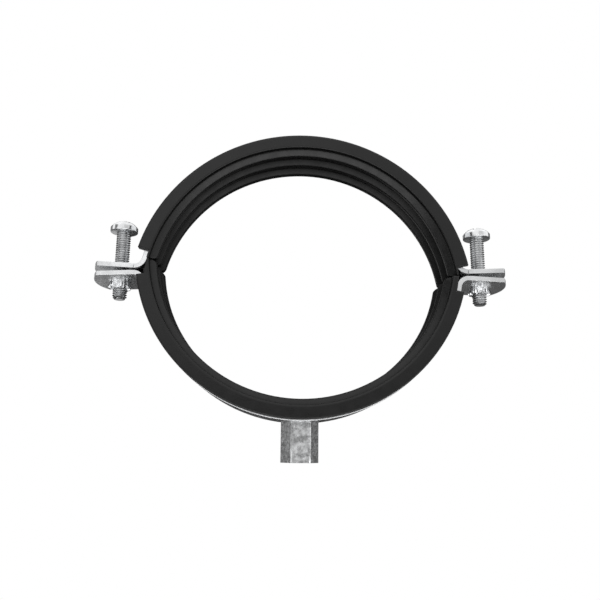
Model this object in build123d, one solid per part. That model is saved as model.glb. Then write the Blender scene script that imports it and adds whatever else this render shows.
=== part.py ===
from build123d import *

import os
from dataclasses import dataclass
from math import asin, atan2, cos, hypot, radians, sin, sqrt, tan

# Rubber lined pipe clamp, in millimetres.
# X runs from ear to ear, Y along the pipe and Z up; the origin is on the pipe's axis, at mid-width,
# in the plane where the two halves meet. The connection nut hangs from the lower half, towards -Z.

# Steel strip, folded the same way for both halves.
STRAP_WIDTH = 25.0
STRAP_THICKNESS = 2.0
STRAP_RADIUS = 66.8            # outer face of the curved stretch
BEND_RADIUS = 3.0              # inside of the bend between ring and ear
EAR_OPENING = 2.7              # degrees by which each ear leans away from the other
EAR_GAP = 1.6                  # between the two ears, at the screw's axis
EAR_REACH = 10.2               # from the screw's axis to the tip of the ear
EAR_BOW = 3.2                  # how far the rounded end stands out past its corners

# Rubber lining, a channel that wraps the edges of the strap.
WALL_THICKNESS = 1.5           # rubber beside each edge of the strap
WALL_HEIGHT = 5.4              # side face, measured along the radius
LIP_COVER = 1.5                # how far each lip reaches in over the strap's outer face
RIB_COUNT = 3
RIB_MARGIN = 1.9               # from the side face to the outer ribs
RIB_WIDTH = 5.2                # at the root
RIB_CREST = 2.0
RIB_HEIGHT = 2.8
TONGUE_ROUNDING = 2.0          # inner corner of each end
TONGUE_CLEARANCE = 0.3         # to the strap of the other half
SEAM_GAP = 0.3                 # between the ends of the two linings
LEFT_SEAM = 4.5                # height at which the linings meet on the left
RIGHT_SEAM = -0.8              # and on the right, as both have crept round the strap

# Clamping screws, M6 with a domed pan head, slot and cross recess.
SCREW_OFFSET = 76.7            # from the clamp's middle to each screw's axis
SCREW_DIAMETER = 6.0
SCREW_LENGTH = 30.0
SCREW_STAND = 17.0             # from the upper ear to the underside of the head
SCREW_TIP_CHAMFER = 0.9
HEAD_DIAMETER = 12.0
HEAD_HEIGHT = 4.0
HEAD_RIM = 1.3                 # height of the upright rim below the dome
SLOT_WIDTH = 1.3
SLOT_DEPTH = 1.5
CROSS_SPAN = 6.4
CROSS_WIDTH = 1.5
CROSS_DEPTH = 2.6
LEFT_SLOT_ANGLE = -48.0        # where each screw was left standing
RIGHT_SLOT_ANGLE = 63.0
HOLE_CLEARANCE = 0.5           # round the screw in the upper ear
THREAD_CLEARANCE = 0.05        # round the plain shank that stands for the thread
COLLAR_DIAMETER = 8.4          # drawn collar under the lower ear, at its root
COLLAR_TAPER = 0.4             # how much narrower the collar is at its rim
COLLAR_HEIGHT = 2.6

# Connection nut, welded under the lower strap.
NUT_ACROSS_FLATS = 13.5
NUT_LENGTH = 16.0              # below the strap
NUT_EDGE_RADIUS = 0.7
NUT_TURN = 2.5                 # degrees, as welded
NUT_BORE = 6.8                 # core of the M8 thread
NUT_MOUTH_CHAMFER = 0.7

# Shapes that cut or trim reach this far past the part.
REACH = 200.0


@dataclass(frozen=True)
class Half:
    """One half of the ring, described with its crown upwards.

    crown: height of the lining's crown above the split plane
    lining_slack: how much the radius of the lining's outer face exceeds the strap's
    crown_lip: rubber over the strap's outer face at the crown, negative where the strap stands proud
    wall_cutback: length at each end over which the lining has no side walls
    left_seam, right_seam: height of the lining's ends
    """

    crown: float
    lining_slack: float
    crown_lip: float
    wall_cutback: float
    left_seam: float
    right_seam: float

    @property
    def lining_radius(self) -> float:
        return STRAP_RADIUS + self.lining_slack

    @property
    def lining_centre(self) -> float:
        return self.crown - self.lining_radius

    @property
    def strap_crown(self) -> float:
        return self.crown - self.crown_lip

    @property
    def strap_centre(self) -> float:
        return self.strap_crown - STRAP_RADIUS


UPPER = Half(
    crown=60.1,
    lining_slack=3.0,
    crown_lip=1.3,
    wall_cutback=4.3,
    left_seam=LEFT_SEAM + SEAM_GAP / 2,
    right_seam=RIGHT_SEAM + SEAM_GAP / 2,
)
LOWER = Half(
    crown=59.7,
    lining_slack=1.4,
    crown_lip=-0.6,
    wall_cutback=7.0,
    left_seam=-LEFT_SEAM + SEAM_GAP / 2,
    right_seam=-RIGHT_SEAM + SEAM_GAP / 2,
)

INNER_RADIUS = STRAP_RADIUS - STRAP_THICKNESS
LINING_WIDTH = STRAP_WIDTH + 2 * WALL_THICKNESS
RIB_PITCH = (LINING_WIDTH - 2 * RIB_MARGIN - RIB_WIDTH) / (RIB_COUNT - 1)
EAR_SLOPE = tan(radians(EAR_OPENING))
EAR_TOP = EAR_GAP / 2 + STRAP_THICKNESS / cos(radians(EAR_OPENING))  # at the screw's axis
HEAD_SEAT = EAR_TOP + SCREW_STAND


def side_prism(face: Sketch, width: float) -> Part:
    """Extrude a face drawn in X and Z evenly to both sides of mid-width."""
    return extrude(Plane.XZ * face, amount=width / 2, both=True)


def disc(radius: float, centre: float) -> Sketch:
    """A disc about a point on the vertical middle line."""
    return Pos(0, centre) * Circle(radius)


def bend_points(half: Half) -> list[Vector]:
    """Ends and middle of the right-hand bend, on the concave side and then on the convex side."""
    lean = radians(EAR_OPENING)
    reach = STRAP_RADIUS + BEND_RADIUS
    # The centre lies BEND_RADIUS above the ear's top face and as far outside the curved stretch.
    offset = EAR_TOP - EAR_SLOPE * SCREW_OFFSET + BEND_RADIUS / cos(lean) - half.strap_centre
    a = 1 + EAR_SLOPE**2
    b = 2 * EAR_SLOPE * offset
    c = offset**2 - reach**2
    x = (-b + sqrt(b * b - 4 * a * c)) / (2 * a)
    centre = Vector(x, EAR_SLOPE * x + offset + half.strap_centre)
    to_ring = (Vector(0, half.strap_centre) - centre).normalized()
    to_ear = Vector(sin(lean), -cos(lean))
    between = (to_ring + to_ear).normalized()
    points = []
    for radius in (BEND_RADIUS, BEND_RADIUS + STRAP_THICKNESS):
        points += [centre + to_ring * radius, centre + between * radius, centre + to_ear * radius]
    return points


def strap_profile(half: Half) -> Sketch:
    """Edge view of one half's strip, crown up, with ears that run on past their ends."""
    ring_out, bend_out, ear_out, ring_in, bend_in, ear_in = bend_points(half)
    along = Vector(cos(radians(EAR_OPENING)), sin(radians(EAR_OPENING)))
    overrun = along * (SCREW_OFFSET + EAR_REACH + STRAP_THICKNESS - ear_out.X)

    def left(point: Vector) -> Vector:
        return Vector(-point.X, point.Y)

    crown_out = Vector(0, half.strap_crown)
    crown_in = Vector(0, half.strap_crown - STRAP_THICKNESS)
    outline = [
        ThreePointArc(left(ring_out), crown_out, ring_out),
        ThreePointArc(ring_out, bend_out, ear_out),
        Line(ear_out, ear_out + overrun),
        Line(ear_out + overrun, ear_in + overrun),
        Line(ear_in + overrun, ear_in),
        ThreePointArc(ear_in, bend_in, ring_in),
        ThreePointArc(ring_in, crown_in, left(ring_in)),
        ThreePointArc(left(ring_in), left(bend_in), left(ear_in)),
        Line(left(ear_in), left(ear_in + overrun)),
        Line(left(ear_in + overrun), left(ear_out + overrun)),
        Line(left(ear_out + overrun), left(ear_out)),
        ThreePointArc(left(ear_out), left(bend_out), left(ring_out)),
    ]
    return make_face(outline)


def strap_blank(half: Half) -> Part:
    """The folded strip of one half, crown up, before its screw holes."""
    return side_prism(strap_profile(half), STRAP_WIDTH) & plan_outline()


def plan_outline() -> Part:
    """The strip seen from above: straight edges and a bowed end on each ear."""
    tip = SCREW_OFFSET + EAR_REACH
    corner = tip - EAR_BOW
    edge = STRAP_WIDTH / 2
    outline = [
        Line((-corner, -edge), (corner, -edge)),
        ThreePointArc((corner, -edge), (tip, 0), (corner, edge)),
        Line((corner, edge), (-corner, edge)),
        ThreePointArc((-corner, edge), (-tip, 0), (-corner, -edge)),
    ]
    return extrude(make_face(outline), amount=REACH, both=True)


def at_screws(shape: Part, height: float) -> Part:
    """Two copies of a shape, on the two screw axes."""
    return Pos(-SCREW_OFFSET, 0, height) * shape + Pos(SCREW_OFFSET, 0, height) * shape


def make_upper_strap() -> Part:
    """Upper strip, with a clearance hole for the screw in each ear."""
    hole = Cylinder(SCREW_DIAMETER / 2 + HOLE_CLEARANCE, 2 * EAR_TOP)
    return strap_blank(UPPER) - at_screws(hole, EAR_TOP)


def make_lower_strap() -> Part:
    """Lower strip, with a drawn and tapped collar under each ear."""
    root = COLLAR_DIAMETER / 2
    embedded = STRAP_THICKNESS / 2
    collar = Cone(root - COLLAR_TAPER, root, COLLAR_HEIGHT + embedded)
    blank = mirror(strap_blank(LOWER), about=Plane.XY)
    collar_middle = -EAR_TOP - COLLAR_HEIGHT / 2 + embedded / 2
    thread = Cylinder(SCREW_DIAMETER / 2 + THREAD_CLEARANCE, 4 * (COLLAR_HEIGHT + STRAP_THICKNESS))
    return blank + at_screws(collar, collar_middle) - at_screws(thread, collar_middle)


def lining_section(half: Half) -> Sketch:
    """The lining's section at the crown: a bar with tapered ribs on its inner face."""
    face = half.lining_radius - WALL_HEIGHT / 2
    bar = Pos(0, face) * Rectangle(LINING_WIDTH, WALL_HEIGHT)
    root = half.lining_radius - WALL_HEIGHT
    crest = root - RIB_HEIGHT
    rib = Polygon(
        (-RIB_WIDTH / 2, root),
        (-RIB_CREST / 2, crest),
        (RIB_CREST / 2, crest),
        (RIB_WIDTH / 2, root),
        align=None,
    )
    for index in range(RIB_COUNT):
        bar += Pos((index - (RIB_COUNT - 1) / 2) * RIB_PITCH, 0) * rib
    return bar


def wedge_below(centre: float, angle: float) -> Sketch:
    """Region on the right, below a line that rises at an angle from a point on the middle line."""
    return Polygon(
        (0, centre),
        (REACH * cos(angle), centre + REACH * sin(angle)),
        (REACH, -REACH),
        (0, -REACH),
        align=None,
    )


def wall_end_cutter(half: Half, seam: float) -> Sketch:
    """Region on the right, between a wall's end and the seam, outside the strap's inner face."""
    end = asin((seam - half.lining_centre) / half.lining_radius) + half.wall_cutback / half.lining_radius
    return wedge_below(half.lining_centre, end) - disc(INNER_RADIUS, half.strap_centre)


def strap_groove(half: Half) -> Sketch:
    """Space that the lining leaves for the strap's full width: the ring, and all beyond the bends."""
    bend_start = bend_points(half)[0]
    bend = atan2(bend_start.Y - half.strap_centre, bend_start.X)
    ear = wedge_below(half.strap_centre, bend) - disc(INNER_RADIUS, half.strap_centre)
    ring = disc(STRAP_RADIUS, half.strap_centre) - disc(INNER_RADIUS, half.strap_centre)
    return ring + ear + mirror(ear, about=Plane.YZ)


def lining_outline(half: Half, other: Half) -> Sketch:
    """Side view of the lining: the band above the seams, with its inner corners rounded."""
    tip = half.lining_radius - WALL_HEIGHT - RIB_HEIGHT
    band = disc(half.lining_radius, half.lining_centre) - disc(tip, half.lining_centre)
    for side, seam in ((-1, half.left_seam), (1, half.right_seam)):
        band -= Pos(side * REACH / 2, seam - REACH / 2) * Rectangle(REACH, REACH)
    corners = [v for v in band.vertices() if hypot(v.X, v.Y - half.lining_centre) < tip + RIB_HEIGHT / 2]
    band = fillet(corners, TONGUE_ROUNDING)
    band -= wall_end_cutter(half, half.right_seam)
    band -= mirror(wall_end_cutter(half, half.left_seam), about=Plane.YZ)
    # Past the split plane the tongue keeps clear of the strap of the other half.
    beyond = Pos(0, -REACH / 2) * Rectangle(REACH, REACH)
    return band - (beyond - disc(INNER_RADIUS - TONGUE_CLEARANCE, -other.strap_centre))


def make_lining(half: Half, other: Half) -> Part:
    """Rubber channel of one half, crown up, with the strap's groove left open between its lips."""
    section = Plane.YZ * Pos(0, half.lining_centre) * lining_section(half)
    ring = revolve(section, Axis((0, 0, half.lining_centre), (0, 1, 0)))
    lining = ring & side_prism(lining_outline(half, other), LINING_WIDTH)
    mouth = disc(REACH, half.strap_centre) - disc(INNER_RADIUS, half.strap_centre)
    lining -= side_prism(strap_groove(half), STRAP_WIDTH)
    return lining - side_prism(mouth, STRAP_WIDTH - 2 * LIP_COVER)


def make_screw(side: int, slot_angle: float) -> Part:
    """Pan head screw on the given side, as far down as it stands in the collar."""
    radius = SCREW_DIAMETER / 2
    head = HEAD_DIAMETER / 2
    outline = [
        Line((0, -SCREW_LENGTH), (radius - SCREW_TIP_CHAMFER, -SCREW_LENGTH)),
        Line((radius - SCREW_TIP_CHAMFER, -SCREW_LENGTH), (radius, SCREW_TIP_CHAMFER - SCREW_LENGTH)),
        Line((radius, SCREW_TIP_CHAMFER - SCREW_LENGTH), (radius, 0)),
        Line((radius, 0), (head, 0)),
        Line((head, 0), (head, HEAD_RIM)),
        ThreePointArc((head, HEAD_RIM), (0, HEAD_HEIGHT), (-head, HEAD_RIM)).trim(0, 0.5),
        Line((0, HEAD_HEIGHT), (0, -SCREW_LENGTH)),
    ]
    screw = revolve(Plane.XZ * make_face(outline), Axis.Z)
    slot = Pos(0, 0, HEAD_HEIGHT) * Box(2 * HEAD_DIAMETER, SLOT_WIDTH, 2 * SLOT_DEPTH)
    cross = Pos(0, 0, HEAD_HEIGHT) * Box(CROSS_SPAN, CROSS_WIDTH, 2 * CROSS_DEPTH)
    recess = slot + cross + Rot(0, 0, 90) * cross
    return Pos(side * SCREW_OFFSET, 0, HEAD_SEAT) * Rot(0, 0, slot_angle) * (screw - recess)


def make_connection_nut() -> Part:
    """Long hexagon nut, its top shaped to the strap that it is welded to."""
    crown = -LOWER.strap_crown
    mouth = crown - NUT_LENGTH
    corner_radius = NUT_ACROSS_FLATS / sqrt(3)
    hexagon = RegularPolygon(corner_radius, 6, major_radius=True)
    hexagon = fillet(hexagon.vertices(), NUT_EDGE_RADIUS)
    blank = extrude(hexagon, amount=NUT_LENGTH + NUT_ACROSS_FLATS / 2)
    bore = Cylinder(NUT_BORE / 2, 4 * NUT_LENGTH)
    flare = 2 * NUT_MOUTH_CHAMFER
    countersink = Cone(NUT_BORE / 2 + flare, NUT_BORE / 2, flare)
    nut = Rot(0, 0, NUT_TURN) * blank - bore - countersink
    strap = side_prism(disc(STRAP_RADIUS, -LOWER.strap_centre), LINING_WIDTH)
    return Pos(0, 0, mouth) * nut - strap


def main() -> None:
    """Build every piece and write one file for each."""
    os.makedirs("parts", exist_ok=True)
    pieces = {
        "upper_strap": make_upper_strap(),
        "lower_strap": make_lower_strap(),
        "upper_lining": make_lining(UPPER, LOWER),
        "lower_lining": mirror(make_lining(LOWER, UPPER), about=Plane.XY),
        "left_screw": make_screw(-1, LEFT_SLOT_ANGLE),
        "right_screw": make_screw(1, RIGHT_SLOT_ANGLE),
        "connection_nut": make_connection_nut(),
    }
    for name, piece in pieces.items():
        export_step(piece, f"parts/{name}.step")


main()
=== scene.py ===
"""Dresses the rubber lined pipe clamp: finishes, threads, burred collars, studio and camera."""

import logging
import math
from dataclasses import dataclass
from enum import Enum

import bmesh
import bpy
from mathutils import Matrix, Vector, noise


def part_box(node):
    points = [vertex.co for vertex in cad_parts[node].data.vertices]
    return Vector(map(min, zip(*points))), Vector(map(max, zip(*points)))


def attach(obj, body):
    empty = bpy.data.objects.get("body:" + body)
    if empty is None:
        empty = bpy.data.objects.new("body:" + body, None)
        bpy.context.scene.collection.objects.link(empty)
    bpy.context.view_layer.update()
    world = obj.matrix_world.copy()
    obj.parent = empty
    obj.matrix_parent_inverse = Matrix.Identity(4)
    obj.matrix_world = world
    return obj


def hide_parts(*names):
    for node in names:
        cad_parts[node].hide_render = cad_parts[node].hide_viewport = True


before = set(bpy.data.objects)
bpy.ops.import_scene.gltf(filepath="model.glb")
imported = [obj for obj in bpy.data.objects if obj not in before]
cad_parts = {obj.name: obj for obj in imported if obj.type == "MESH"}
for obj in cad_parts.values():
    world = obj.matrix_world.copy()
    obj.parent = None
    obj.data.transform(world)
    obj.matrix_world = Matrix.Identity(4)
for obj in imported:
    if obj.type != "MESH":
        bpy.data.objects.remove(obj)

LOG = logging.getLogger("pipe_clamp")
MM = 0.001
WELD_DISTANCE = 1e-6
CUT_TOLERANCE = 1e-7
NOISE_MIDDLE = (0.35, 0.65)
# painted shade: occlusion range that maps to dimmed sheen in grooves
PAINTED_SHADE_AO_RANGE = (0.55, 0.97)
SHADER_SAMPLES = 16
NODE_EDGE_SEGMENTS = 3
NODE_EDGE_ANGLE = 38.0
SLOT_ANGLES = (("left_screw", -48.0), ("right_screw", 63.0))
COLLARS = (("left_collar_burr", "left_screw", 1.7), ("right_collar_burr", "right_screw", 5.3))


class Metal(Enum):
    """The four looks of zinc plated steel on this clamp, one of them darker steel painted into the
    thread as shade.
    """

    STRIP = "strip"
    SCREW = "screw"
    BAR = "bar"
    # painted shade: darker steel for thread roots and down-facing flanks
    PAINTED_THREAD_SHADE = "painted_thread_shade"


# ---------------------------------------------------------------- finishes


class NodeSheet:
    """A material's node tree, filled in one node at a time."""

    def __init__(self, name: str) -> None:
        """Start an empty material.

        Args:
            name: the material's name.
        """
        self.material = bpy.data.materials.new(name)
        self.material.use_nodes = True
        self.tree = self.material.node_tree
        self.tree.nodes.clear()
        self.output = self.tree.nodes.new("ShaderNodeOutputMaterial")
        self.coordinates = self.tree.nodes.new("ShaderNodeTexCoord")

    def add(self, kind: str, **values: object) -> bpy.types.Node:
        """Add a node and set its properties.

        Args:
            kind: Blender's name for the node type.
            values: properties of the node.

        Returns:
            The new node.
        """
        node = self.tree.nodes.new(kind)
        for name, value in values.items():
            setattr(node, name, value)
        return node

    def link(self, source: bpy.types.NodeSocket, target: bpy.types.NodeSocket) -> None:
        """Connect two sockets.

        Args:
            source: an output.
            target: an input.
        """
        self.tree.links.new(source, target)

    def noise(
        self, per_metre: float, detail: float, stretch: tuple[float, float, float] = (1, 1, 1)
    ) -> bpy.types.NodeSocket:
        """Noise on the piece's own coordinates.

        Args:
            per_metre: scale of the pattern.
            detail: octaves of finer noise.
            stretch: scale along each axis, for grain that runs one way.

        Returns:
            The noise value's socket.
        """
        mapping = self.add("ShaderNodeMapping")
        mapping.inputs["Scale"].default_value = stretch
        self.link(self.coordinates.outputs["Object"], mapping.inputs["Vector"])
        texture = self.add("ShaderNodeTexNoise")
        texture.inputs["Scale"].default_value = per_metre
        texture.inputs["Detail"].default_value = detail
        self.link(mapping.outputs["Vector"], texture.inputs["Vector"])
        return texture.outputs["Fac"]

    def spread(self, value: bpy.types.NodeSocket, low: float, high: float) -> bpy.types.NodeSocket:
        """Spread the middle of a noise over a range.

        Args:
            value: the noise.
            low: result where the noise is low.
            high: result where the noise is high.

        Returns:
            The spread value's socket.
        """
        node = self.add("ShaderNodeMapRange")
        node.inputs["From Min"].default_value = NOISE_MIDDLE[0]
        node.inputs["From Max"].default_value = NOISE_MIDDLE[1]
        node.inputs["To Min"].default_value = low
        node.inputs["To Max"].default_value = high
        self.link(value, node.inputs["Value"])
        return node.outputs["Result"]

    def tint(
        self, value: bpy.types.NodeSocket, dark: float, light: float, cast: float = 0.0
    ) -> bpy.types.NodeSocket:
        """Colour between two greys.

        Args:
            value: mix factor.
            dark: grey at 0.
            light: grey at 1.
            cast: how far blue stands above red.

        Returns:
            The colour's socket.
        """
        ramp = self.add("ShaderNodeValToRGB")
        for element, grey in zip(ramp.color_ramp.elements, (dark, light)):
            element.color = (grey * (1 - cast), grey, grey * (1 + cast), 1)
        self.link(value, ramp.inputs["Fac"])
        return ramp.outputs["Color"]

    def bump(
        self,
        layers: list[tuple[bpy.types.NodeSocket, float]],
        normal: bpy.types.NodeSocket | None = None,
    ) -> bpy.types.NodeSocket:
        """Stack bumps.

        Args:
            layers: height sockets, each with its depth in metres.
            normal: the normal they start from, if it isn't the surface's own.

        Returns:
            The normal's socket.
        """
        for height, depth in layers:
            node = self.add("ShaderNodeBump")
            node.inputs["Strength"].default_value = 1.0
            node.inputs["Distance"].default_value = depth
            self.link(height, node.inputs["Height"])
            if normal is not None:
                self.link(normal, node.inputs["Normal"])
            normal = node.outputs["Normal"]
        return normal

    def rounded(self, radius: float) -> bpy.types.NodeSocket:
        """Normal that turns softly over edges and hollows, as a moulded skin does.

        Args:
            radius: size of the softening.

        Returns:
            The normal's socket.
        """
        node = self.add("ShaderNodeBevel", samples=SHADER_SAMPLES)
        node.inputs["Radius"].default_value = radius
        return node.outputs["Normal"]

    def painted_groove_shade(self, reach: float, low: float, high: float) -> bpy.types.NodeSocket:
        """Painted shade: ambient occlusion dims the sheen in grooves and hollows, where shade
        falls.

        Args:
            reach: distance that counts.
            low: result deep in a groove, the painted shade.
            high: result in the open.

        Returns:
            The value's socket.
        """
        node = self.add("ShaderNodeAmbientOcclusion", samples=SHADER_SAMPLES)
        node.inputs["Distance"].default_value = reach
        scale = self.add("ShaderNodeMapRange")
        scale.inputs["From Min"].default_value = PAINTED_SHADE_AO_RANGE[0]
        scale.inputs["From Max"].default_value = PAINTED_SHADE_AO_RANGE[1]
        scale.inputs["To Min"].default_value = low
        scale.inputs["To Max"].default_value = high
        self.link(node.outputs["AO"], scale.inputs["Value"])
        return scale.outputs["Result"]

    def surface(self) -> bpy.types.Node:
        """Add the principled shader and connect it to the output.

        Returns:
            The shader's node.
        """
        shader = self.add("ShaderNodeBsdfPrincipled")
        self.link(shader.outputs["BSDF"], self.output.inputs["Surface"])
        return shader


@dataclass(frozen=True)
class RubberFinish:
    """Moulded black rubber with a faint skin grain, and painted shade that dims its sheen in
    grooves.
    """

    name: str = "black_rubber"
    dark: float = 0.0035
    light: float = 0.006
    roughness_low: float = 0.26
    roughness_high: float = 0.36
    grain_per_metre: float = 1400.0
    grain_depth: float = 0.02 * MM
    cloud_per_metre: float = 60.0
    cloud_depth: float = 0.08 * MM
    scuff_per_metre: float = 240.0
    scuff_stretch: tuple[float, float, float] = (1.0, 0.25, 1.0)
    skin_radius: float = 1.3 * MM
    # painted shade: ambient occlusion within the reach below lowers the sheen in grooves towards
    # the lowest value
    painted_shade_reach: float = 9.0 * MM
    painted_shade_sheen: float = 0.02
    open_sheen: float = 0.39

    def build(self) -> bpy.types.Material:
        """Make the material.

        Returns:
            The material.
        """
        sheet = NodeSheet(self.name)
        shader = sheet.surface()
        # painted shade: sheen dimmed in grooves by ambient occlusion
        sheen_with_painted_shade = sheet.painted_groove_shade(self.painted_shade_reach, self.painted_shade_sheen, self.open_sheen)
        sheet.link(sheen_with_painted_shade, shader.inputs["Specular IOR Level"])
        cloud = sheet.noise(self.cloud_per_metre, detail=3.0)
        grain = sheet.noise(self.grain_per_metre, detail=2.0)
        scuff = sheet.noise(self.scuff_per_metre, detail=5.0, stretch=self.scuff_stretch)
        sheet.link(sheet.tint(cloud, self.dark, self.light), shader.inputs["Base Color"])
        roughness = sheet.spread(scuff, self.roughness_low, self.roughness_high)
        sheet.link(roughness, shader.inputs["Roughness"])
        layers = [(grain, self.grain_depth), (cloud, self.cloud_depth)]
        sheet.link(sheet.bump(layers, sheet.rounded(self.skin_radius)), shader.inputs["Normal"])
        return sheet.material


@dataclass(frozen=True)
class SteelFinish:
    """Zinc plated steel: a bright metal whose grain and clouding depend on how it was made."""

    name: str
    dark: float
    light: float
    roughness_low: float
    roughness_high: float
    cloud_per_metre: float
    grain_per_metre: float
    grain_stretch: tuple[float, float, float]
    grain_depth: float
    pit_per_metre: float
    pit_depth: float
    blue_cast: float = 0.01

    def build(self) -> bpy.types.Material:
        """Make the material.

        Returns:
            The material.
        """
        sheet = NodeSheet(self.name)
        shader = sheet.surface()
        shader.inputs["Metallic"].default_value = 1.0
        cloud = sheet.noise(self.cloud_per_metre, detail=5.0)
        grain = sheet.noise(self.grain_per_metre, detail=3.0, stretch=self.grain_stretch)
        pits = sheet.noise(self.pit_per_metre, detail=4.0)
        colour = sheet.tint(sheet.spread(cloud, 0, 1), self.dark, self.light, self.blue_cast)
        sheet.link(colour, shader.inputs["Base Color"])
        roughness = sheet.spread(pits, self.roughness_low, self.roughness_high)
        sheet.link(roughness, shader.inputs["Roughness"])
        layers = [(grain, self.grain_depth), (pits, self.pit_depth)]
        sheet.link(sheet.bump(layers), shader.inputs["Normal"])
        return sheet.material


STEELS = {
    Metal.STRIP: SteelFinish(
        name="zinc_plated_strip",
        dark=0.74,
        light=0.92,
        roughness_low=0.24,
        roughness_high=0.40,
        cloud_per_metre=90.0,
        grain_per_metre=500.0,
        grain_stretch=(0.15, 1.0, 0.15),
        grain_depth=0.008 * MM,
        pit_per_metre=900.0,
        pit_depth=0.004 * MM,
    ),
    Metal.SCREW: SteelFinish(
        name="zinc_plated_screw",
        dark=0.72,
        light=0.9,
        roughness_low=0.14,
        roughness_high=0.26,
        cloud_per_metre=300.0,
        grain_per_metre=900.0,
        grain_stretch=(1.0, 1.0, 0.3),
        grain_depth=0.008 * MM,
        pit_per_metre=1500.0,
        pit_depth=0.01 * MM,
    ),
    # painted shade: darker, rougher steel that stands in for shade down in the thread
    Metal.PAINTED_THREAD_SHADE: SteelFinish(
        name="zinc_plated_painted_thread_shade",
        dark=0.36,
        light=0.55,
        roughness_low=0.3,
        roughness_high=0.45,
        cloud_per_metre=300.0,
        grain_per_metre=900.0,
        grain_stretch=(1.0, 1.0, 0.3),
        grain_depth=0.008 * MM,
        pit_per_metre=1500.0,
        pit_depth=0.01 * MM,
    ),
    Metal.BAR: SteelFinish(
        name="zinc_plated_bar",
        dark=0.45,
        light=0.92,
        roughness_low=0.24,
        roughness_high=0.42,
        cloud_per_metre=520.0,
        grain_per_metre=700.0,
        grain_stretch=(1.0, 1.0, 0.12),
        grain_depth=0.03 * MM,
        pit_per_metre=1100.0,
        pit_depth=0.03 * MM,
    ),
}


# ---------------------------------------------------------------- pieces


def as_object(
    name: str, mesh_source: bmesh.types.BMesh, sharp_degrees: float = 32.0
) -> bpy.types.Object:
    """Turn a bmesh into an object at the origin, smooth except at sharp edges.

    Args:
        name: the object's name.
        mesh_source: the shape, freed afterwards.
        sharp_degrees: edges that turn further than this stay sharp.

    Returns:
        The object, linked to the scene.
    """
    mesh = bpy.data.meshes.new(name)
    mesh_source.to_mesh(mesh)
    mesh_source.free()
    mesh.shade_smooth()
    mesh.set_sharp_from_angle(angle=math.radians(sharp_degrees))
    piece = bpy.data.objects.new(name, mesh)
    bpy.context.scene.collection.objects.link(piece)
    return piece


def dress(piece: bpy.types.Object, material: bpy.types.Material) -> None:
    """Give a piece one material.

    Args:
        piece: the object.
        material: its finish.
    """
    piece.data.materials.clear()
    piece.data.materials.append(material)


def spin_profile(shape: bmesh.types.BMesh, points: list[tuple[float, float]], steps: int) -> None:
    """Spin an open profile of radius and height once round Z.

    Args:
        shape: the bmesh that takes the surface.
        points: radius and height of each point.
        steps: facets round the turn.
    """
    verts = [shape.verts.new((radius, 0, height)) for radius, height in points]
    edges = [shape.edges.new(pair) for pair in zip(verts, verts[1:])]
    bmesh.ops.spin(
        shape, geom=verts + edges, cent=(0, 0, 0), axis=(0, 0, 1), dvec=(0, 0, 0),
        angle=2 * math.pi, steps=steps, use_merge=True, use_duplicate=False,
    )
    bmesh.ops.remove_doubles(shape, verts=shape.verts, dist=CUT_TOLERANCE)
    bmesh.ops.recalc_face_normals(shape, faces=shape.faces)


def helix_surface(
    shape: bmesh.types.BMesh,
    profile: list[tuple[float, float]],
    pitch: float,
    turns: int,
    steps: int,
) -> None:
    """Sweep a thread's profile along its helix.

    Args:
        shape: the bmesh that takes the surface.
        profile: radius and height of each point, one pitch high.
        pitch: height of a turn.
        turns: number of turns.
        steps: facets round one turn.
    """
    verts = [shape.verts.new((radius, 0, height)) for radius, height in profile]
    edges = [shape.edges.new(pair) for pair in zip(verts, verts[1:])]
    bmesh.ops.spin(
        shape, geom=verts + edges, cent=(0, 0, 0), axis=(0, 0, 1), dvec=(0, 0, pitch / steps),
        angle=2 * math.pi * turns, steps=steps * turns, use_merge=False, use_duplicate=False,
    )
    bmesh.ops.remove_doubles(shape, verts=shape.verts, dist=WELD_DISTANCE)


def trim(shape: bmesh.types.BMesh, height: float, keep_above: bool) -> None:
    """Cut a shape level and close the cut.

    Args:
        shape: the shape.
        height: where the cut lies.
        keep_above: which side stays.
    """
    geometry = shape.verts[:] + shape.edges[:] + shape.faces[:]
    cut = bmesh.ops.bisect_plane(
        shape, geom=geometry, dist=CUT_TOLERANCE, plane_co=(0, 0, height), plane_no=(0, 0, 1),
        clear_inner=keep_above, clear_outer=not keep_above,
    )
    edges = [item for item in cut["geom_cut"] if isinstance(item, bmesh.types.BMEdge)]
    bmesh.ops.holes_fill(shape, edges=edges, sides=0)


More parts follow.
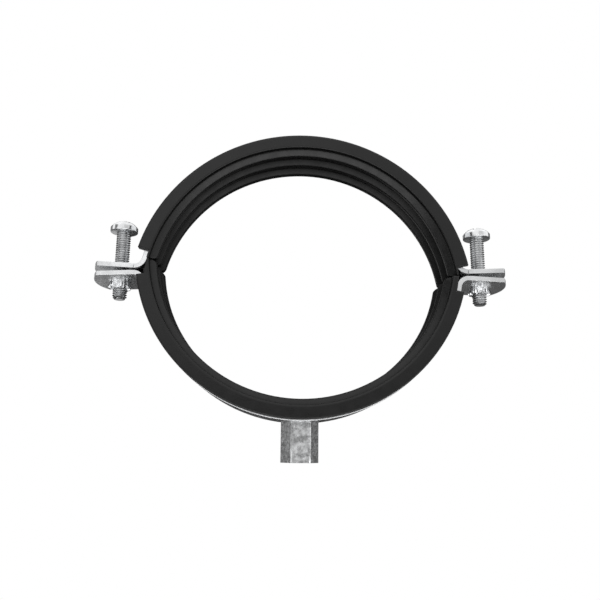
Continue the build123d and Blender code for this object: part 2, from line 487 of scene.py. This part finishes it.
@dataclass
class ClampingScrew:
    """Pan head machine screw with a cut thread, a slot and a cross recess."""

    body: str
    slot_angle: float
    length: float = 29.65 * MM
    radius: float = 3.0 * MM
    root_radius: float = 2.36 * MM
    pitch: float = 1.0 * MM
    flank_share: float = 0.36
    crest_share: float = 0.14
    run_in_share: float = 0.3
    spare_turns: int = 3
    spare_turns_below: float = 1.5
    root_margin: float = 0.1 * MM
    flank_lean: float = 0.3
    tip_chamfer: float = 0.9 * MM
    head_radius: float = 5.8 * MM
    head_height: float = 4.95 * MM
    head_rim: float = 2.0 * MM
    head_stand: float = 0.6 * MM
    head_edge: float = 0.45 * MM
    slot_width: float = 1.3 * MM
    slot_depth: float = 1.5 * MM
    cross_span: float = 6.4 * MM
    cross_width: float = 1.5 * MM
    cross_depth: float = 2.6 * MM
    cross_taper: float = 0.45
    break_edge: float = 0.1 * MM
    break_angle: float = 40.0
    steps: int = 28
    edge_steps: int = 6
    dome_steps: int = 14

    def shank(self) -> bmesh.types.BMesh:
        """Threaded shank below the head's underside.

        Returns:
            A closed shape.
        """
        shape = bmesh.new()
        flank = self.flank_share * self.pitch
        crest = self.crest_share * self.pitch
        profile = [
            (self.root_radius, 0.0),
            (self.radius, flank),
            (self.radius, flank + crest),
            (self.root_radius, 2 * flank + crest),
            (self.root_radius, self.pitch),
        ]
        turns = math.ceil(self.length / self.pitch) + self.spare_turns
        helix_surface(shape, profile, self.pitch, turns, self.steps)
        start = -self.length - self.spare_turns_below * self.pitch
        bmesh.ops.translate(shape, verts=shape.verts, vec=(0, 0, start))
        trim(shape, -self.length, keep_above=True)
        trim(shape, self.run_in_share * self.head_height, keep_above=False)
        for vert in shape.verts:
            allowed = self.radius - self.tip_chamfer + (vert.co.z + self.length)
            reach = math.hypot(vert.co.x, vert.co.y)
            if reach > allowed:
                vert.co.x *= allowed / reach
                vert.co.y *= allowed / reach
        bmesh.ops.recalc_face_normals(shape, faces=shape.faces)
        # thread roots and lower flanks take the second, darker steel as painted shade
        for face in shape.faces:
            face.material_index = int(self.in_painted_thread_shade(face))
        return shape

    def in_painted_thread_shade(self, face: bmesh.types.BMFace) -> bool:
        """Whether a face of the shank is a thread's root or lower flank, which takes darker steel
        as painted shade.

        Args:
            face: the face, with the head's underside at height 0.

        Returns:
            True for roots and lower flanks between the tip and the head.
        """
        centre = face.calc_center_median()
        on_root = math.hypot(centre.x, centre.y) < self.root_radius + self.root_margin
        on_thread = -self.length + 0.5 * self.tip_chamfer < centre.z < 0
        return on_thread and (on_root or face.normal.z < -self.flank_lean)

    def head(self) -> bmesh.types.BMesh:
        """Domed head before its recess.

        Returns:
            A closed shape.
        """
        shape = bmesh.new()
        rise = self.head_height - self.head_rim
        dome_radius = (self.head_radius**2 + rise**2) / (2 * rise)
        dome_centre = self.head_height - dome_radius
        reach = math.asin(self.head_radius / dome_radius)
        corner = self.head_radius - self.head_edge
        turns = [math.radians(90 / self.edge_steps * step) for step in range(self.edge_steps + 1)]
        edge = [
            (
                corner + self.head_edge * math.sin(turn),
                self.head_edge - self.head_edge * math.cos(turn),
            )
            for turn in turns
        ]
        leans = [reach * (1 - step / self.dome_steps) for step in range(self.dome_steps + 1)]
        dome = [
            (dome_radius * math.sin(lean), dome_centre + dome_radius * math.cos(lean))
            for lean in leans
        ]
        dome[-1] = (0.0, self.head_height)
        spin_profile(shape, [(0.0, 0.0)] + edge + dome, 2 * self.steps)
        return shape

    def recess(self) -> bmesh.types.BMesh:
        """The slot and the tapered cross, as one cutter.

        Returns:
            A closed shape.
        """
        shape = bmesh.new()
        sizes = [
            (4 * self.head_radius, self.slot_width, self.slot_depth, 1.0),
            (self.cross_span, self.cross_width, self.cross_depth, self.cross_taper),
            (self.cross_width, self.cross_span, self.cross_depth, self.cross_taper),
        ]
        for length, width, depth, taper in sizes:
            box = bmesh.ops.create_cube(shape, size=1.0)["verts"]
            bmesh.ops.scale(shape, verts=box, vec=(length, width, 2 * depth))
            bmesh.ops.translate(shape, verts=box, vec=(0, 0, self.head_height))
            for vert in box:
                if vert.co.z < self.head_height:
                    vert.co.x *= taper
                    vert.co.y *= 0.5 + taper / 2
        return shape

    def build(self, material: bpy.types.Material, painted_thread_shade: bpy.types.Material) -> bpy.types.Object:
        """Make the screw where its CAD node stands.

        Args:
            material: the finish.
            painted_thread_shade: darker steel down in the thread, painted shade.

        Returns:
            The piece.
        """
        low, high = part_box(self.body)
        axis = Vector(((low[0] + high[0]) / 2, (low[1] + high[1]) / 2, 0))
        seat = axis + Vector((0, 0, high[2] + self.head_stand - self.head_height))
        head = as_object(f"{self.body}_head_blank", self.head())
        cutter = as_object(f"{self.body}_recess", self.recess())
        cut = head.modifiers.new("recess", "BOOLEAN")
        cut.operation = "DIFFERENCE"
        cut.solver = "EXACT"
        cut.use_self = True
        cut.object = cutter
        broken = head.modifiers.new("soften", "BEVEL")
        broken.width = self.break_edge
        broken.segments = 2
        broken.limit_method = "ANGLE"
        broken.angle_limit = math.radians(self.break_angle)
        depsgraph = bpy.context.evaluated_depsgraph_get()
        finished = bpy.data.meshes.new_from_object(head.evaluated_get(depsgraph))
        shape = self.shank()
        shape.from_mesh(finished)
        for helper in (head, cutter):
            bpy.data.objects.remove(helper)
        bpy.data.meshes.remove(finished)
        turn = Matrix.Rotation(math.radians(self.slot_angle), 4, "Z")
        bmesh.ops.transform(shape, matrix=Matrix.Translation(seat) @ turn, verts=shape.verts)
        piece = as_object(f"{self.body}_threaded", shape)
        piece.data.materials.append(material)
        piece.data.materials.append(painted_thread_shade)
        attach(piece, self.body)
        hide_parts(self.body)
        return piece


@dataclass
class CollarBurr:
    """Torn, petalled rim that the punch leaves on a drawn collar, under a lower ear."""

    name: str
    screw: str
    inner_radius: float = 3.08 * MM
    root_radius: float = 4.25 * MM
    rim_radius: float = 4.15 * MM
    top: float = -2.75 * MM
    depth: float = 2.75 * MM
    petals: int = 9
    rows: int = 6
    steps: int = 108
    sharp_degrees: float = 30.0
    seed: float = 0.0
    sway_scale: float = 1.7
    sway_turn: float = 4.0
    rag_scale: float = 6.0
    rag_layer: float = 4.0
    wave_drop: float = 0.18
    rag_drop: float = 0.22
    sway_drop: float = 0.1
    flare: float = 0.05
    wave_flare: float = 0.07
    rag_flare: float = 0.16
    root_rag: float = 0.03
    wall_margin: float = 0.1 * MM

    def build(self, material: bpy.types.Material) -> bpy.types.Object:
        """Make the burr round the screw's collar.

        Args:
            material: the finish.

        Returns:
            The piece.
        """
        low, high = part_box(self.screw)
        axis = Vector(((low[0] + high[0]) / 2, (low[1] + high[1]) / 2, 0))
        rows = [step / self.rows for step in range(self.rows + 1)]
        taper = self.root_radius - self.rim_radius
        outside = [(self.root_radius - taper * row, -self.depth * row) for row in rows]
        inside = [(self.inner_radius, -self.depth * row) for row in reversed(rows)]
        shape = bmesh.new()
        spin_profile(shape, outside + inside + [outside[0]], self.steps)
        for vert in shape.verts:
            self.tear(vert)
        bmesh.ops.translate(shape, verts=shape.verts, vec=axis + Vector((0, 0, self.top)))
        piece = as_object(self.name, shape, self.sharp_degrees)
        dress(piece, material)
        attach(piece, "lower_half")
        return piece

    def tear(self, vert: bmesh.types.BMVert) -> None:
        """Move one point of the sleeve so that its rim splits into uneven, flared petals.

        Args:
            vert: point of the sleeve, about its own axis.
        """
        angle = math.atan2(vert.co.y, vert.co.x)
        down = -vert.co.z / self.depth
        round_way = Vector((math.cos(angle), math.sin(angle), 0))
        sway = noise.noise(round_way * self.sway_scale + Vector((self.seed, 0, 0)))
        wave = math.sin(self.petals * angle + self.sway_turn * sway + self.seed)
        rag = noise.noise(round_way * self.rag_scale + Vector((0, self.seed, self.rag_layer)))
        drop = self.wave_drop * wave + self.rag_drop * rag + self.sway_drop * sway
        vert.co.z += self.depth * down**2 * drop
        opening = self.flare + self.wave_flare * wave + self.rag_flare * rag
        swell = 1 + down**1.5 * opening + self.root_rag * rag * (1 - down)
        if math.hypot(vert.co.x, vert.co.y) > self.inner_radius + self.wall_margin:
            vert.co.x *= swell
            vert.co.y *= swell


@dataclass
class SheetParts:
    """The two folded straps and the nut, kept as CAD solids.

    nodes: name, metal and the rounding asked for, of which next to nothing is left on the nut
    """

    nodes: tuple[tuple[str, Metal, float], ...] = (
        ("upper_strap", Metal.STRIP, 0.22 * MM),
        ("lower_strap", Metal.STRIP, 0.22 * MM),
        ("connection_nut", Metal.BAR, 0.4 * MM),
    )

    def build(self, steels: dict[Metal, bpy.types.Material]) -> None:
        """Dress each node and ask for a rounding of its edges.

        Args:
            steels: material for each metal.
        """
        for name, metal, radius in self.nodes:
            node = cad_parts[name]
            dress(node, steels[metal])
            soften(node, radius)
            LOG.info("%s dressed as %s", name, metal.value)


@dataclass
class Linings:
    """The two ribbed rubber channels.

    edge: the rounding asked for, of which a quarter or less is left
    """

    nodes: tuple[str, ...] = ("upper_lining", "lower_lining")
    edge: float = 0.5 * MM

    def build(self, rubber: bpy.types.Material) -> None:
        """Dress each lining.

        Args:
            rubber: the finish.
        """
        for name in self.nodes:
            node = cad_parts[name]
            dress(node, rubber)
            soften(node, self.edge)
            LOG.info("%s dressed", name)


def soften(piece: bpy.types.Object, radius: float) -> None:
    """Round a CAD node's sharp edges with modifiers, leaving its mesh alone.

    Args:
        piece: the node's object.
        radius: size of the rounding. Blender cuts it down over the whole piece when any of
            the piece's edges lie close together.
    """
    weld = piece.modifiers.new("weld", "WELD")
    weld.merge_threshold = WELD_DISTANCE
    bevel = piece.modifiers.new("edge", "BEVEL")
    bevel.width = radius
    bevel.segments = NODE_EDGE_SEGMENTS
    bevel.limit_method = "ANGLE"
    bevel.angle_limit = math.radians(NODE_EDGE_ANGLE)


# ---------------------------------------------------------------- studio


class Facing(Enum):
    """The axis a panel of the light tent stands square to, with the turn that brings it there."""

    X = Matrix.Rotation(math.pi / 2, 4, "Y").freeze()
    Y = Matrix.Rotation(math.pi / 2, 4, "X").freeze()
    Z = Matrix.Identity(4).freeze()


@dataclass(frozen=True)
class Panel:
    """A wall of the light tent, seen only in reflections.

    place: centre; size: width and height; grey: how bright it looks
    """

    name: str
    facing: Facing
    place: tuple[float, float, float]
    size: tuple[float, float]
    grey: float


@dataclass(frozen=True)
class Lamp:
    """A square soft lamp aimed at the clamp."""

    name: str
    place: tuple[float, float, float]
    size: float
    power: float


@dataclass
class Studio:
    """White floor and surroundings, soft lamps, and a light tent that the steel reflects."""

    floor_height: float = -0.45
    floor_reach: float = 6.0
    floor_grey: float = 0.8
    surround: float = 0.8
    lamps: tuple[Lamp, ...] = (
        Lamp("key", (-0.55, -0.9, 0.75), size=0.8, power=5.0),
        Lamp("fill", (0.9, -0.7, 0.25), size=0.8, power=2.0),
    )
    panels: tuple[Panel, ...] = (
        Panel("front_left_panel", Facing.Y, (-0.5, -1.0, 0.56), (1.24, 0.92), 1.05),
        Panel("front_right_panel", Facing.Y, (0.58, -1.0, 0.56), (0.92, 0.92), 0.74),
        Panel("front_low_panel", Facing.Y, (0.0, -1.0, -0.46), (2.2, 1.12), 0.36),
        Panel("left_front_panel", Facing.X, (-1.1, -0.7, 0.2), (0.7, 1.6), 0.15),
        Panel("left_middle_panel", Facing.X, (-1.1, -0.1, 0.2), (0.5, 1.6), 1.2),
        Panel("right_front_panel", Facing.X, (1.1, -0.5, 0.2), (1.1, 1.6), 1.0),
        Panel("left_back_panel", Facing.X, (-1.1, 0.6, 0.0), (0.9, 2.2), 0.16),
        Panel("right_back_panel", Facing.X, (1.1, 0.6, 0.0), (0.9, 2.2), 0.14),
        Panel("back_left_panel", Facing.Y, (-0.72, 1.1, -0.1), (0.76, 2.0), 0.48),
        Panel("back_panel", Facing.Y, (-0.02, 1.1, -0.1), (0.64, 2.0), 0.02),
        Panel("back_right_panel", Facing.Y, (0.7, 1.1, -0.1), (0.8, 2.0), 0.13),
        Panel("low_panel", Facing.Z, (0.0, 0.4, -0.44), (2.2, 1.4), 0.05),
        Panel("low_front_panel", Facing.Z, (0.0, -0.65, -0.44), (2.2, 0.7), 2.2),
        Panel("top_panel", Facing.Z, (0.0, 0.0, 1.1), (2.2, 2.2), 1.1),
    )

    def backdrop_material(self, name: str, grey: float) -> bpy.types.Material:
        """White to the camera, to gloss and to glass, and plain paper to everything else.

        Args:
            name: the material's name.
            grey: colour of the paper.

        Returns:
            The material.
        """
        sheet = NodeSheet(name)
        paper = sheet.add("ShaderNodeBsdfDiffuse")
        paper.inputs["Color"].default_value = (grey, grey, grey, 1)
        white = sheet.add("ShaderNodeEmission")
        mix = sheet.add("ShaderNodeMixShader")
        sheet.link(self.seen_directly(sheet.tree), mix.inputs["Fac"])
        sheet.link(paper.outputs["BSDF"], mix.inputs[1])
        sheet.link(white.outputs["Emission"], mix.inputs[2])
        sheet.link(mix.outputs["Shader"], sheet.output.inputs["Surface"])
        return sheet.material

    def seen_directly(self, tree: bpy.types.NodeTree) -> bpy.types.NodeSocket:
        """1 for rays from the camera, from gloss and from glass, and 0 for the rest.

        Args:
            tree: node tree of the backdrop or of the world.

        Returns:
            The socket.
        """
        path = tree.nodes.new("ShaderNodeLightPath")
        value = path.outputs["Is Camera Ray"]
        for name in ("Is Glossy Ray", "Is Transmission Ray"):
            either = tree.nodes.new("ShaderNodeMath")
            either.operation = "MAXIMUM"
            tree.links.new(value, either.inputs[0])
            tree.links.new(path.outputs[name], either.inputs[1])
            value = either.outputs["Value"]
        return value

    def world(self) -> None:
        """White where it is seen, and a softer white as light."""
        world = bpy.data.worlds.new("studio_world")
        bpy.context.scene.world = world
        world.use_nodes = True
        tree = world.node_tree
        background = tree.nodes["Background"]
        background.inputs["Color"].default_value = (1, 1, 1, 1)
        seen = tree.nodes.new("ShaderNodeMapRange")
        seen.inputs["To Min"].default_value = self.surround
        tree.links.new(self.seen_directly(tree), seen.inputs["Value"])
        tree.links.new(seen.outputs["Result"], background.inputs["Strength"])

    def floor(self) -> None:
        """Wide pale floor, well below the clamp, which hangs from its rod."""
        shape = bmesh.new()
        bmesh.ops.create_grid(shape, x_segments=1, y_segments=1, size=self.floor_reach)
        bmesh.ops.translate(shape, verts=shape.verts, vec=(0, 0, self.floor_height))
        floor = as_object("studio_floor", shape)
        dress(floor, self.backdrop_material("white_paper", self.floor_grey))

    def tent(self) -> None:
        """Hang the panels round the clamp, each facing it squarely."""
        for panel in self.panels:
            shape = bmesh.new()
            bmesh.ops.create_grid(shape, x_segments=1, y_segments=1, size=0.5)
            wide, high = panel.size
            sides = (high, wide) if panel.facing is Facing.X else (wide, high)
            turned = panel.facing.value @ Matrix.Diagonal((*sides, 1, 1))
            placed = Matrix.Translation(panel.place) @ turned
            bmesh.ops.transform(shape, matrix=placed, verts=shape.verts)
            wall = as_object(panel.name, shape)
            dress(wall, self.panel_material(panel))
            for ray in ("camera", "shadow", "diffuse", "transmission", "volume_scatter"):
                setattr(wall, f"visible_{ray}", False)

    def panel_material(self, panel: Panel) -> bpy.types.Material:
        """Even grey that doesn't depend on the lamps.

        Args:
            panel: the panel.

        Returns:
            The material.
        """
        sheet = NodeSheet(f"{panel.name}_paper")
        glow = sheet.add("ShaderNodeEmission")
        glow.inputs["Color"].default_value = (panel.grey, panel.grey, panel.grey, 1)
        sheet.link(glow.outputs["Emission"], sheet.output.inputs["Surface"])
        return sheet.material

    def light(self) -> None:
        """Square soft lamps aimed at the clamp."""
        for lamp in self.lamps:
            light = bpy.data.lights.new(lamp.name, "AREA")
            light.shape = "SQUARE"
            light.size = lamp.size
            light.energy = lamp.power
            holder = bpy.data.objects.new(lamp.name, light)
            holder.location = lamp.place
            holder.visible_glossy = False
            holder.rotation_euler = (-Vector(lamp.place)).to_track_quat("-Z", "Y").to_euler()
            bpy.context.scene.collection.objects.link(holder)

    def build(self) -> None:
        """Set up world, floor, tent and lamps."""
        self.world()
        self.floor()
        self.tent()
        self.light()


@dataclass
class ViewCamera:
    """Camera close in front of the clamp, near the height of the nut, looking a little up."""

    place: tuple[float, float, float] = (-0.0080, -0.2715, -0.0716)
    pitch: float = 12.97
    yaw: float = 1.60
    roll: float = 0.60
    lens: float = 39.3
    sensor: float = 36.0
    near: float = 0.01

    def build(self) -> None:
        """Make it the scene's camera."""
        camera = bpy.data.cameras.new("view_camera")
        camera.sensor_width = self.sensor
        camera.sensor_fit = "HORIZONTAL"
        camera.lens = self.lens
        camera.clip_start = self.near
        holder = bpy.data.objects.new("view_camera", camera)
        upright = Matrix.Rotation(math.radians(90 + self.pitch), 4, "X")
        turned = Matrix.Rotation(math.radians(-self.yaw), 4, "Z") @ upright
        rolled = turned @ Matrix.Rotation(math.radians(self.roll), 4, "Z")
        holder.matrix_world = Matrix.Translation(self.place) @ rolled
        bpy.context.scene.collection.objects.link(holder)
        bpy.context.scene.camera = holder


def main() -> None:
    """Build the dressed clamp and its studio."""
    logging.basicConfig(level=logging.INFO)
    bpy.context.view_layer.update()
    steels = {metal: finish.build() for metal, finish in STEELS.items()}
    rubber = RubberFinish().build()
    SheetParts().build(steels)
    Linings().build(rubber)
    for body, angle in SLOT_ANGLES:
        # the second steel is darker steel painted into the thread as shade
        screw = ClampingScrew(body, angle).build(steels[Metal.SCREW], steels[Metal.PAINTED_THREAD_SHADE])
        LOG.info("%s built with %d faces", screw.name, len(screw.data.polygons))
    for name, screw, seed in COLLARS:
        CollarBurr(name, screw, seed=seed).build(steels[Metal.SCREW])
        LOG.info("%s built", name)
    Studio().build()
    ViewCamera().build()
    bpy.context.scene.view_settings.view_transform = "Standard"


if __name__ == "__main__":
    main()
